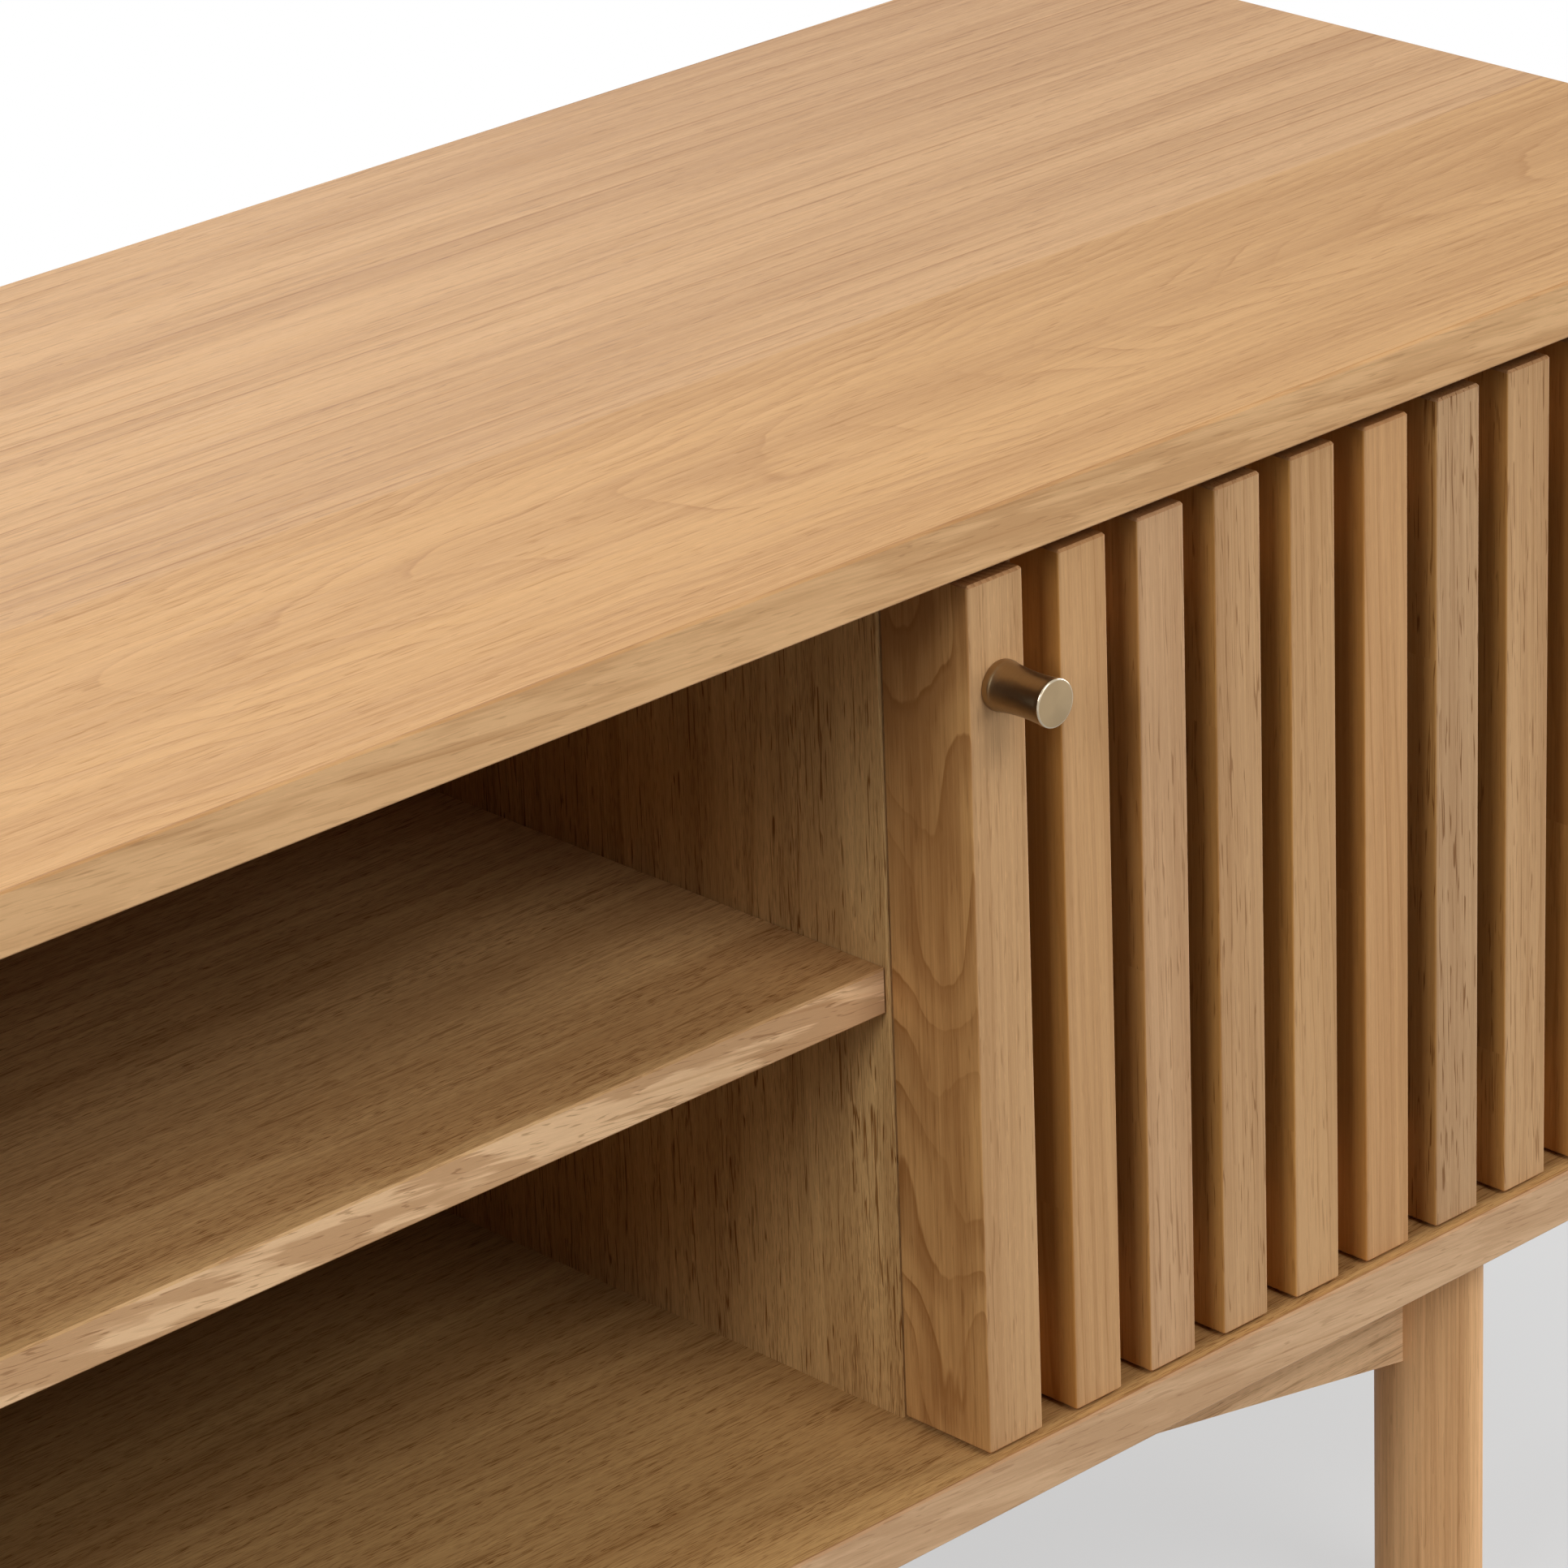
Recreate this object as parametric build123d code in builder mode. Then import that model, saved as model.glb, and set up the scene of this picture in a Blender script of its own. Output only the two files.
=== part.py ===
from build123d import *
import os

# Media cabinet in oak: an open centre compartment with a shelf, a slatted door on each side of it,
# and a stand of round legs joined by tapered rails.
# Millimetres. X runs along the front, Y towards the back, Z up. The origin is on the floor, at the
# centre of the whole object's footprint, knobs included.

os.makedirs("parts", exist_ok=True)

# ---------------------------------------------------------------- driving dimensions
# Carcass
width = 1600.0  # top and base, end to end
depth = 450.0  # top and base, front to back, lippings included
board = 22.0  # thickness of the top, base, sides and dividers
inner_height = 347.0  # upper face of the base to the underside of the top
stand_height = 169.0  # floor to the underside of the base
lipping = 1.6  # solid strip glued to the front of the top and base
arris = 0.8  # eased edges of the boards
center_opening = 600.0  # between the dividers

# Shelves
shelf_board = 18.0
shelf_level = 182.0  # upper face of the shelves above the base
shelf_setback = 1.5  # centre shelf behind the dividers' front edge
inner_shelf_setback = 12.0  # shelf behind a door, from the dividers' front edge
shelf_back_gap = 2.0  # shelves to the back panel
shelf_end_gap = 0.3  # centre shelf to a divider
inner_shelf_end_gap = 1.0  # lift-out shelf to the panels beside it

# Back panel
back_board = 8.0
back_recess = 2.0  # back panel to the rear edges of the boards round it
rebate = 8.0  # how far the back panel reaches into the boards round it
rebate_gap = 0.3
cable_slot_length = 160.0
cable_slot_height = 50.0

# Doors
door_setback = 5.0  # door fronts behind the top's front edge
door_depth = 44.0  # thickness of a stile, front to back
door_foot_gap = 1.0  # door to the base
door_head_gap = 6.5  # door to the top
stop_gap = 1.0  # back of the latch stile to the divider
hinge_gap = 3.0  # door to the side panel
stile_width = 27.5
slat_count = 10
slat_width = 24.0
slat_end_gap = 18.0  # stile to the nearest slat
slat_depth = 24.0
slat_ease = 1.2  # rounding of a slat's and a stile's front corners
end_ease = 1.0  # chamfer round the ends of slats and stiles
rail_height = 45.0
rail_end_inset = 2.0  # a door rail's outer edge to the end of the stiles
tenon_thickness = 10.0
tenon_length = 9.0
tenon_shoulder = 5.0  # from a door rail's edges to its tenon

# Pivots
pin_radius = 3.0
pin_in_stile = 14.0
pin_in_bush = 10.0
pin_running = 0.05  # radial clearance of a pin in its bush
pivot_inset = 12.0  # axis to the door's outer edge
pivot_setback = 8.0  # axis to the door's front
bush_radius = 5.0
bush_depth = 12.0
bush_flange_radius = 8.0
thrust_gap = 0.2  # door to the lower bush's flange

# Knobs
knob_length = 27.0
knob_base_radius = 9.5
knob_waist_radius = 8.35
knob_end_radius = 9.1
knob_foot_length = 3.5  # straight part next to the door
knob_foot_step = 0.4  # shoulder between the foot and the hollow
knob_waist_at = 15.0  # waist to the door
knob_foot_ease = 0.6
knob_rim = 0.7  # bright chamfer round the end
knob_below_top = 40.8  # knob's axis to the top of the door
knob_offset = 1.2  # knob's axis from the stile's middle, towards the slats

# Catches
magnet_radius = 6.0
magnet_depth = 12.0
strike_thickness = 1.6

# Stand
leg_radius = 21.5
leg_inset = 225.0  # leg's axis to the end of the cabinet
leg_setback = 35.0  # leg's axis to the front or back of the base
leg_ease = 2.0
glide_radius = 15.0
glide_height = 4.0
stand_rail = 22.0  # thickness of the rails between the legs
stand_rail_setback = 30.0  # rail's outer face to the front or back of the base
rail_end_depth = 47.0  # depth of a rail beside a leg
rail_mid_depth = 20.0  # depth between the tapers
long_taper = 157.0
cross_taper = 90.0
taper_blend = 150.0  # radius where a taper runs out
stand_tenon_thickness = 10.0
stand_tenon_length = 12.0  # how far a tenon enters a leg
stand_tenon_shoulder = 6.0

# Fixings
snug = 0.05  # radial or end clearance of what is glued or pressed in
dowel_radius = 4.0
dowel_in_board = 12.0  # in the face of a 22 mm board
dowel_in_edge = 18.0  # in the end of an upright or a shelf
dowel_inset = 45.0  # dowel to an upright's front or back edge
screw_radius = 2.0
screw_head_radius = 4.0
screw_head_height = 2.0
screw_bite = 15.0  # thread in the far piece
bolt_radius = 2.0
bolt_head_radius = 4.5
bolt_head_height = 3.0
bolt_in_knob = 10.0
leg_bolt_radius = 4.0
leg_bolt_in_leg = 40.0
leg_bolt_in_base = 15.0
shelf_pin_radius = 2.5
shelf_pin_in_panel = 8.0
shelf_pin_nose = 8.0  # beyond the panel's face
shelf_pin_inset = 40.0  # pin to a shelf's front or back edge
pin_hole_pitch = 32.0  # rows of holes for the lift-out shelves

# ---------------------------------------------------------------- places worked out from them
half_width = width / 2
knob_reach = knob_length - door_setback  # how far the knobs stand in front of the top
y_front = (knob_reach - depth) / 2
y_back = y_front + depth
y_door = y_front + door_setback
y_case = y_door + door_depth + stop_gap  # front edge of the dividers
y_panel_rear = y_back - back_recess
y_panel = y_panel_rear - back_board  # inner face of the back panel

z_base = stand_height
z_deck = z_base + board
z_lid = z_deck + inner_height
z_shelf = z_deck + shelf_level
z_door = z_deck + door_foot_gap
z_door_top = z_lid - door_head_gap
door_height = z_door_top - z_door

x_divider = center_opening / 2  # inner face of a divider
x_behind_divider = x_divider + board
x_side = half_width - board  # inner face of a side panel
x_rebate = x_side + rebate
x_hinge_edge = x_side - hinge_gap  # outer edge of a door
x_latch_inner = x_divider + stile_width
x_hinge_inner = x_hinge_edge - stile_width
x_pivot = x_hinge_edge - pivot_inset
y_pivot = y_door + pivot_setback

door_span = x_hinge_inner - x_latch_inner  # between the stiles
x_first_slat = x_latch_inner + slat_end_gap + slat_width / 2
slat_pitch = (door_span - 2 * slat_end_gap - slat_width) / (slat_count - 1)
slat_middles = [x_first_slat + number * slat_pitch for number in range(slat_count)]
y_door_back = y_door + door_depth
door_rail_thickness = door_depth - slat_depth
y_rail_middle = y_door_back - door_rail_thickness / 2
rail_level_inset = rail_end_inset + rail_height / 2
rail_levels = [z_door + rail_level_inset, z_door_top - rail_level_inset]  # their middles
tenon_height = rail_height - 2 * tenon_shoulder

x_knob = x_divider + stile_width / 2 + knob_offset
z_knob = z_door_top - knob_below_top
x_magnet = x_divider + board / 2
z_magnet = (z_door + z_door_top) / 2
bush_flange = door_foot_gap - thrust_gap

x_leg = half_width - leg_inset
y_legs = {"front": y_front + leg_setback, "rear": y_back - leg_setback}
stand_middle = (y_front + y_back) / 2
y_long_rails = {
    "front": y_front + stand_rail_setback + stand_rail / 2,
    "rear": y_back - stand_rail_setback - stand_rail / 2,
}
stand_tenon_height = rail_end_depth - 2 * stand_tenon_shoulder
z_stand_tenon = z_base - rail_end_depth / 2
z_rail_underside = z_base - rail_mid_depth

x_uprights = {"side": half_width - board / 2, "divider": x_divider + board / 2}
y_upright_ends = {"side": (y_door, y_back), "divider": (y_case, y_panel)}
z_shelf_middle = z_shelf - shelf_board / 2
y_center_shelf = y_case + shelf_setback
y_inner_shelf = y_case + inner_shelf_setback
y_shelf_back = y_panel - shelf_back_gap
y_shelf_pins = (y_inner_shelf + shelf_pin_inset, y_shelf_back - shelf_pin_inset)
z_shelf_pins = z_shelf - shelf_board - shelf_pin_radius

hands = {"left": -1, "right": 1}


def upright_dowels(z):
    """Centres of the dowels between the uprights and the top or base."""
    return [
        (hand * x_uprights[kind], y, z)
        for hand in hands.values()
        for kind in x_uprights
        for y in (y_upright_ends[kind][0] + dowel_inset, y_upright_ends[kind][1] - dowel_inset)
    ]


def shelf_dowels(x):
    """Centres of the dowels in one end of the centre shelf."""
    return [(x, y, z_shelf_middle) for y in (y_case + dowel_inset, y_panel - dowel_inset)]


def leg_tops():
    return [(hand * x_leg, y, z_base) for hand in hands.values() for y in y_legs.values()]


def stand_screws(z):
    """Screws from the stand's rails up into the base."""
    long_rails = [(x, y, z) for y in y_long_rails.values() for x in (-x_leg / 2, 0, x_leg / 2)]
    return long_rails + [(hand * x_leg, stand_middle, z) for hand in hands.values()]


def pivots(z):
    return [(hand * x_pivot, y_pivot, z) for hand in hands.values()]


# ---------------------------------------------------------------- helpers
UP = (0, 0, 1)
DOWN = (0, 0, -1)
FRONT = (0, -1, 0)
BACK = (0, 1, 0)


def level(z):
    """Horizontal sketch plane at a height."""
    return Plane.XY.offset(z)


def facing_front(y):
    """Upright sketch plane across the cabinet: local X is X, local Y is Z, the normal is -Y."""
    return Plane.XZ.offset(-y)


def rectangle_between(x_one, x_two, y_low, y_high):
    """Rectangle by its sides; the two X values may come in either order."""
    with Locations(((x_one + x_two) / 2, (y_low + y_high) / 2)):
        Rectangle(abs(x_two - x_one), y_high - y_low)


def drill(points, outward, radius, hole_depth):
    """Flat-bottomed holes in a face that looks outward, at points on that face."""
    with Locations(*[Plane(origin=point, z_dir=outward) for point in points]):
        Hole(radius, hole_depth)


def sink(points, outward, hole_depth):
    """Countersunk screw holes in a face that looks outward."""
    with Locations(*[Plane(origin=point, z_dir=outward) for point in points]):
        Hole(screw_radius + snug, hole_depth)
        Cone(
            screw_radius + snug,
            screw_head_radius + snug,
            screw_head_height,
            align=(Align.CENTER, Align.CENTER, Align.MAX),
            mode=Mode.SUBTRACT,
        )


def peg(points, outward, radius, length):
    """Round pegs that start at the points and run outward."""
    with Locations(*[Plane(origin=point, z_dir=outward) for point in points]):
        Cylinder(radius, length, align=(Align.CENTER, Align.CENTER, Align.MIN))


def screw(points, outward, length):
    """Countersunk screws whose heads look outward, flush with the points."""
    with Locations(*[Plane(origin=point, z_dir=outward) for point in points]):
        Cylinder(screw_radius, length, align=(Align.CENTER, Align.CENTER, Align.MAX))
        Cone(
            screw_radius,
            screw_head_radius,
            screw_head_height,
            align=(Align.CENTER, Align.CENTER, Align.MAX),
        )


def block(middle, sizes, mode=Mode.ADD):
    """Square-edged tenon, or with Mode.SUBTRACT its mortise."""
    with Locations(middle):
        Box(*sizes, mode=mode)


def save(piece, name):
    piece.part.label = name
    export_step(piece.part, f"parts/{name}.step")


# ---------------------------------------------------------------- top and base
def long_board(name, z_low, z_inner, inward):
    """Top or base behind its lipping: rebated for the back, drilled for dowels and bushes."""
    into = 1 if inward == DOWN else -1  # from the inner face into the board
    with BuildPart() as panel:
        with BuildSketch(level(z_low)):
            rectangle_between(-half_width, half_width, y_front + lipping, y_back)
        extrude(amount=board)
        ends = panel.faces().filter_by(Axis.X).edges()
        back = panel.faces().sort_by(Axis.Y)[-1].edges()
        chamfer((ends + back).filter_by(lambda edge: edge.center().Y > y_front + lipping), length=arris)
        with BuildSketch(level(z_inner)):
            rectangle_between(-x_rebate, x_rebate, y_panel, y_back)
        extrude(amount=into * rebate, mode=Mode.SUBTRACT)
        drill(upright_dowels(z_inner), inward, dowel_radius + snug, dowel_in_board + snug)
        drill(pivots(z_inner), inward, bush_radius + snug, bush_depth + snug)
        if name == "base_panel":
            drill(leg_tops(), DOWN, leg_bolt_radius + snug, leg_bolt_in_base + snug)
            drill(stand_screws(z_base), DOWN, screw_radius + snug, screw_bite + snug)
    save(panel, name)


def board_lipping(name, z_low):
    """Solid strip on the front edge of the top or base, eased round its front face."""
    with BuildPart() as strip:
        with BuildSketch(level(z_low)):
            rectangle_between(-half_width, half_width, y_front, y_front + lipping)
        extrude(amount=board)
        chamfer(strip.faces().sort_by(Axis.Y)[0].edges(), length=arris)
    save(strip, name)


long_board("top_panel", z_lid, z_lid, DOWN)
board_lipping("top_lipping", z_lid)
long_board("base_panel", z_base, z_deck, UP)
board_lipping("base_lipping", z_base)


# ---------------------------------------------------------------- sides and dividers
def drill_upright(kind, hand, x_face, x_outward):
    """Dowel sockets in both ends of an upright and shelf pin holes in the face that looks outward."""
    for z, outward in ((z_deck, DOWN), (z_lid, UP)):
        sockets = [(x, y, z) for x, y, z in upright_dowels(z) if x == hand * x_uprights[kind]]
        drill(sockets, outward, dowel_radius + snug, dowel_in_edge + snug)
    rows = [(y, z_shelf_pins + row * pin_hole_pitch) for y in y_shelf_pins for row in (-1, 0, 1)]
    holes = [(x_face, y, z) for y, z in rows]
    drill(holes, (x_outward, 0, 0), shelf_pin_radius + snug, shelf_pin_in_panel + snug)


def side_panel(name, hand):
    with BuildPart() as side:
        with BuildSketch(level(z_deck)):
            rectangle_between(hand * x_side, hand * half_width, y_door, y_back)
        extrude(amount=inner_height)
        chamfer(side.edges().filter_by(Axis.Z).group_by(Axis.Y)[0], length=arris)
        with BuildSketch(level(z_deck)):
            rectangle_between(hand * x_side, hand * x_rebate, y_panel, y_back)
        extrude(amount=inner_height, mode=Mode.SUBTRACT)
        drill_upright("side", hand, hand * x_side, -hand)
    save(side, name)


def divider(name, hand):
    with BuildPart() as upright:
        with BuildSketch(level(z_deck)):
            rectangle_between(hand * x_divider, hand * x_behind_divider, y_case, y_panel)
        extrude(amount=inner_height)
        chamfer(upright.edges().filter_by(Axis.Z).group_by(Axis.Y)[0], length=arris)
        drill_upright("divider", hand, hand * x_behind_divider, hand)
        sockets = shelf_dowels(hand * x_divider)
        drill(sockets, (-hand, 0, 0), dowel_radius + snug, dowel_in_board + snug)
        drill([(hand * x_magnet, y_case, z_magnet)], FRONT, magnet_radius + snug, magnet_depth + snug)
    save(upright, name)


for hand_name, hand in hands.items():
    side_panel(f"{hand_name}_side_panel", hand)
    divider(f"{hand_name}_divider", hand)


# ---------------------------------------------------------------- shelves and back
def shelf(name, x_one, x_two, y_low):
    """Shelf with an eased front edge; the centre shelf is doweled to the dividers."""
    with BuildPart() as plank:
        with BuildSketch(level(z_shelf - shelf_board)):
            rectangle_between(x_one, x_two, y_low, y_shelf_back)
        extrude(amount=shelf_board)
        chamfer(plank.faces().sort_by(Axis.Y)[0].edges(), length=arris)
        if name == "center_shelf":
            for x, outward in ((x_one, -1), (x_two, 1)):
                drill(shelf_dowels(x), (outward, 0, 0), dowel_radius + snug, dowel_in_edge + snug)
    save(plank, name)


x_shelf_end = x_divider - shelf_end_gap
shelf("center_shelf", -x_shelf_end, x_shelf_end, y_center_shelf)
for hand_name, hand in hands.items():
    x_near = hand * (x_behind_divider + inner_shelf_end_gap)
    x_far = hand * (x_side - inner_shelf_end_gap)
    shelf(f"{hand_name}_inner_shelf", x_near, x_far, y_inner_shelf)

with BuildPart() as back_panel:
    with BuildSketch(facing_front(y_panel_rear)):
        x_edge = x_rebate - rebate_gap
        z_edge = rebate - rebate_gap
        rectangle_between(-x_edge, x_edge, z_deck - z_edge, z_lid + z_edge)
        with Locations((0, (z_shelf + z_lid) / 2), (0, (z_deck + z_shelf - shelf_board) / 2)):
            SlotOverall(cable_slot_length, cable_slot_height, mode=Mode.SUBTRACT)
    extrude(amount=back_board)
save(back_panel, "back_panel")

with BuildPart() as shelf_pins:
    for hand in hands.values():
        for x_face, x_outward in ((hand * x_behind_divider, hand), (hand * x_side, -hand)):
            points = [(x_face, y, z_shelf_pins) for y in y_shelf_pins]
            peg(points, (x_outward, 0, 0), shelf_pin_radius, shelf_pin_nose)
            peg(points, (-x_outward, 0, 0), shelf_pin_radius, shelf_pin_in_panel)
save(shelf_pins, "shelf_pins")

with BuildPart() as carcass_dowels:
    for z_face, into_upright, into_board in ((z_deck, UP, DOWN), (z_lid, DOWN, UP)):
        peg(upright_dowels(z_face), into_upright, dowel_radius, dowel_in_edge)
        peg(upright_dowels(z_face), into_board, dowel_radius, dowel_in_board)
    for hand in hands.values():
        points = shelf_dowels(hand * x_divider)
        peg(points, (hand, 0, 0), dowel_radius, dowel_in_board)
        peg(points, (-hand, 0, 0), dowel_radius, shelf_end_gap + dowel_in_edge)
save(carcass_dowels, "carcass_dowels")

with BuildPart() as catch_magnets:
    points = [(hand * x_magnet, y_case, z_magnet) for hand in hands.values()]
    peg(points, BACK, magnet_radius, magnet_depth)
save(catch_magnets, "catch_magnets")

with BuildPart() as pivot_bushes:
    for z_face, outward, inward in ((z_deck, UP, DOWN), (z_lid, DOWN, UP)):
        z_rim = z_face + outward[2] * bush_flange
        peg(pivots(z_face), inward, bush_radius, bush_depth)
        peg(pivots(z_face), outward, bush_flange_radius, bush_flange)
        drill(pivots(z_rim), outward, pin_radius + pin_running, bush_flange + bush_depth)
save(pivot_bushes, "pivot_bushes")


# ---------------------------------------------------------------- stand
def leg(name, hand, end):
    """Round leg with mortises for a long rail and a cross rail."""
    axis_x = hand * x_leg
    axis_y = y_legs[end]
    inward = 1 if end == "front" else -1
    reach = stand_tenon_length + snug + arris  # mortise length, run past the leg's curve
    middle = leg_radius - stand_tenon_length - snug + reach
    thickness = stand_tenon_thickness + 2 * snug
    height = stand_tenon_height + 2 * snug
    with BuildPart() as post:
        with BuildSketch(level(glide_height)):
            with Locations((axis_x, axis_y)):
                Circle(leg_radius)
        extrude(amount=z_base - glide_height)
        chamfer(post.edges().group_by(Axis.Z)[0], length=leg_ease)
        rail_middle = (axis_x - hand * middle, y_long_rails[end], z_stand_tenon)
        block(rail_middle, (2 * reach, thickness, height), mode=Mode.SUBTRACT)
        cross_middle = (axis_x, axis_y + inward * middle, z_stand_tenon)
        block(cross_middle, (thickness, 2 * reach, height), mode=Mode.SUBTRACT)
        top = (axis_x, axis_y, z_base)
        drill([top], UP, leg_bolt_radius + snug, leg_bolt_in_leg + snug)
    save(post, name)


def rail_outline(half_length, taper):
    """Corners of a rail seen from its side: deep beside the legs, shallow between the tapers."""
    deep = z_base - rail_end_depth
    shallow = z_base - rail_mid_depth
    run = half_length - leg_radius
    right = [(half_length, z_base), (half_length, deep), (run, deep), (run - taper, shallow)]
    return right + [(-x, z) for x, z in reversed(right)]


def long_rail(name, end):
    """Front or rear rail, coped and tenoned into both of its legs."""
    y_rail = y_long_rails[end]
    coped = [(hand * x_leg, y_legs[end], z_base) for hand in hands.values()]
    tenon_end = x_leg - leg_radius + stand_tenon_length
    with BuildPart() as rail:
        with BuildSketch(facing_front(y_rail)) as side:
            with BuildLine():
                Polyline(*rail_outline(x_leg, long_taper), close=True)
            make_face()
            fillet(side.vertices().group_by(Axis.Y)[1], radius=taper_blend)
        extrude(amount=stand_rail / 2, both=True)
        drill(coped, UP, leg_radius, rail_end_depth)
        for hand in hands.values():
            x_middle = hand * (tenon_end - leg_radius)
            sizes = (2 * leg_radius, stand_tenon_thickness, stand_tenon_height)
            block((x_middle, y_rail, z_stand_tenon), sizes)
        heads = [point for point in stand_screws(z_rail_underside) if point[1] == y_rail]
        sink(heads, DOWN, rail_mid_depth)
    save(rail, name)


def cross_rail(name, hand):
    """Rail from a front leg to a rear leg, coped and tenoned into both."""
    coped = [(hand * x_leg, y, z_base) for y in y_legs.values()]
    half_length = (y_legs["rear"] - y_legs["front"]) / 2
    tenon_end = half_length - leg_radius + stand_tenon_length
    across = Plane(origin=(hand * x_leg, stand_middle, 0), x_dir=BACK, z_dir=(1, 0, 0))
    with BuildPart() as rail:
        with BuildSketch(across) as side:
            with BuildLine():
                Polyline(*rail_outline(half_length, cross_taper), close=True)
            make_face()
            fillet(side.vertices().group_by(Axis.Y)[1], radius=taper_blend)
        extrude(amount=stand_rail / 2, both=True)
        drill(coped, UP, leg_radius, rail_end_depth)
        for way in (-1, 1):
            y_middle = stand_middle + way * (tenon_end - leg_radius)
            sizes = (stand_tenon_thickness, 2 * leg_radius, stand_tenon_height)
            block((hand * x_leg, y_middle, z_stand_tenon), sizes)
        heads = [point for point in stand_screws(z_rail_underside) if point[0] == hand * x_leg]
        sink(heads, DOWN, rail_mid_depth)
    save(rail, name)


for end in y_legs:
    long_rail(f"{end}_rail", end)
    for hand_name, hand in hands.items():
        leg(f"{end}_{hand_name}_leg", hand, end)
for hand_name, hand in hands.items():
    cross_rail(f"{hand_name}_cross_rail", hand)

with BuildPart() as floor_glides:
    peg([(x, y, 0) for x, y, z in leg_tops()], UP, glide_radius, glide_height)
save(floor_glides, "floor_glides")

with BuildPart() as stand_fixings:
    screw(stand_screws(z_rail_underside), DOWN, rail_mid_depth + screw_bite)
    peg(leg_tops(), UP, leg_bolt_radius, leg_bolt_in_base)
    peg(leg_tops(), DOWN, leg_bolt_radius, leg_bolt_in_leg)
save(stand_fixings, "stand_fixings")


# ---------------------------------------------------------------- doors
def ease_ends(post):
    """Chamfers the outlines of both ends of a stile or slat."""
    chamfer(post.faces().sort_by(Axis.Z)[-1].edges(), length=end_ease)
    chamfer(post.faces().sort_by(Axis.Z)[0].edges(), length=end_ease)


def cut_mortises(x_face, into_stile):
    """Mortises for both door rails, cut into the stile being built."""
    middle = x_face + into_stile * (tenon_length + snug) / 2
    sizes = (tenon_length + snug, tenon_thickness + 2 * snug, tenon_height + 2 * snug)
    for z in rail_levels:
        block((middle, y_rail_middle, z), sizes, mode=Mode.SUBTRACT)


def latch_stile(name, hand):
    """Stile that carries the knob and the strike, as deep as the whole door."""
    with BuildPart() as stile:
        with BuildSketch(level(z_door)):
            rectangle_between(hand * x_divider, hand * x_latch_inner, y_door, y_door_back)
        extrude(amount=door_height)
        fillet(stile.edges().filter_by(Axis.Z), radius=slat_ease)
        ease_ends(stile)
        cut_mortises(hand * x_latch_inner, -hand)
        knob_back = [(hand * x_knob, y_door_back, z_knob)]
        drill(knob_back, BACK, bolt_radius + snug, door_depth)
        drill(knob_back, BACK, bolt_head_radius + snug, bolt_head_height)
        drill([(hand * x_magnet, y_door_back, z_magnet)], BACK, magnet_radius + snug, strike_thickness)
    save(stile, name)


def hinge_stile(name, hand):
    """Stile that turns on the pivot pins."""
    with BuildPart() as stile:
        with BuildSketch(level(z_door)):
            rectangle_between(hand * x_hinge_inner, hand * x_hinge_edge, y_door, y_door_back)
        extrude(amount=door_height)
        fillet(stile.edges().filter_by(Axis.Z), radius=slat_ease)
        ease_ends(stile)
        cut_mortises(hand * x_hinge_inner, hand)
        for z, outward in ((z_door, DOWN), (z_door_top, UP)):
            drill([(hand * x_pivot, y_pivot, z)], outward, pin_radius + snug, pin_in_stile + snug)
    save(stile, name)


def door_rail(name, hand, z_middle):
    """Rail behind the slats, tenoned into both stiles."""
    x_middle = hand * (x_latch_inner + x_hinge_inner) / 2
    middle = (x_middle, y_rail_middle, z_middle)
    with BuildPart() as rail:
        block(middle, (door_span, door_rail_thickness, rail_height))
        block(middle, (door_span + 2 * tenon_length, tenon_thickness, tenon_height))
    save(rail, name)


def slat(name, x_middle):
    """Slat with eased front corners, seated on the fronts of both rails."""
    with BuildPart() as strip:
        with BuildSketch(level(z_door)):
            with Locations((x_middle, y_door + slat_depth / 2)):
                Rectangle(slat_width, slat_depth)
        extrude(amount=door_height)
        fillet(strip.edges().filter_by(Axis.Z).group_by(Axis.Y)[0], radius=slat_ease)
        ease_ends(strip)
    save(strip, name)


def knob(name, hand):
    """Turned knob with a round foot, a hollow waist and a chamfered end."""
    foot = (hand * x_knob, y_door, z_knob)
    shoulder = (knob_base_radius - knob_foot_step, -knob_foot_length)
    waist = (knob_waist_radius, -knob_waist_at)
    rim = (knob_end_radius, knob_rim - knob_length)
    with BuildPart() as turned:
        with BuildSketch(Plane(origin=foot)):
            with BuildLine():
                Polyline(
                    shoulder,
                    (knob_base_radius, -knob_foot_length),
                    (knob_base_radius, -knob_foot_ease),
                    (knob_base_radius - knob_foot_ease, 0),
                    (0, 0),
                    (0, -knob_length),
                    (knob_end_radius - knob_rim, -knob_length),
                    rim,
                )
                ThreePointArc(shoulder, waist, rim)
            make_face()
        revolve(axis=Axis(foot, BACK))
        drill([foot], BACK, bolt_radius + snug, bolt_in_knob + snug)
    save(turned, name)


def door_fixings(name, hand):
    """The knob's bolt and the steel strike, as separate solids."""
    knob_back = [(hand * x_knob, y_door_back, z_knob)]
    strike = [(hand * x_magnet, y_door_back, z_magnet)]
    with BuildPart() as fixings:
        peg(knob_back, FRONT, bolt_head_radius, bolt_head_height)
        peg(knob_back, FRONT, bolt_radius, door_depth + bolt_in_knob)
        peg(strike, FRONT, magnet_radius, strike_thickness)
    save(fixings, name)


def pivot_pins(name, hand):
    foot = (hand * x_pivot, y_pivot, z_door)
    head = (hand * x_pivot, y_pivot, z_door_top)
    with BuildPart() as pins:
        peg([foot], UP, pin_radius, pin_in_stile)
        peg([foot], DOWN, pin_radius, door_foot_gap + pin_in_bush)
        peg([head], DOWN, pin_radius, pin_in_stile)
        peg([head], UP, pin_radius, door_head_gap + pin_in_bush)
    save(pins, name)


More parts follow.
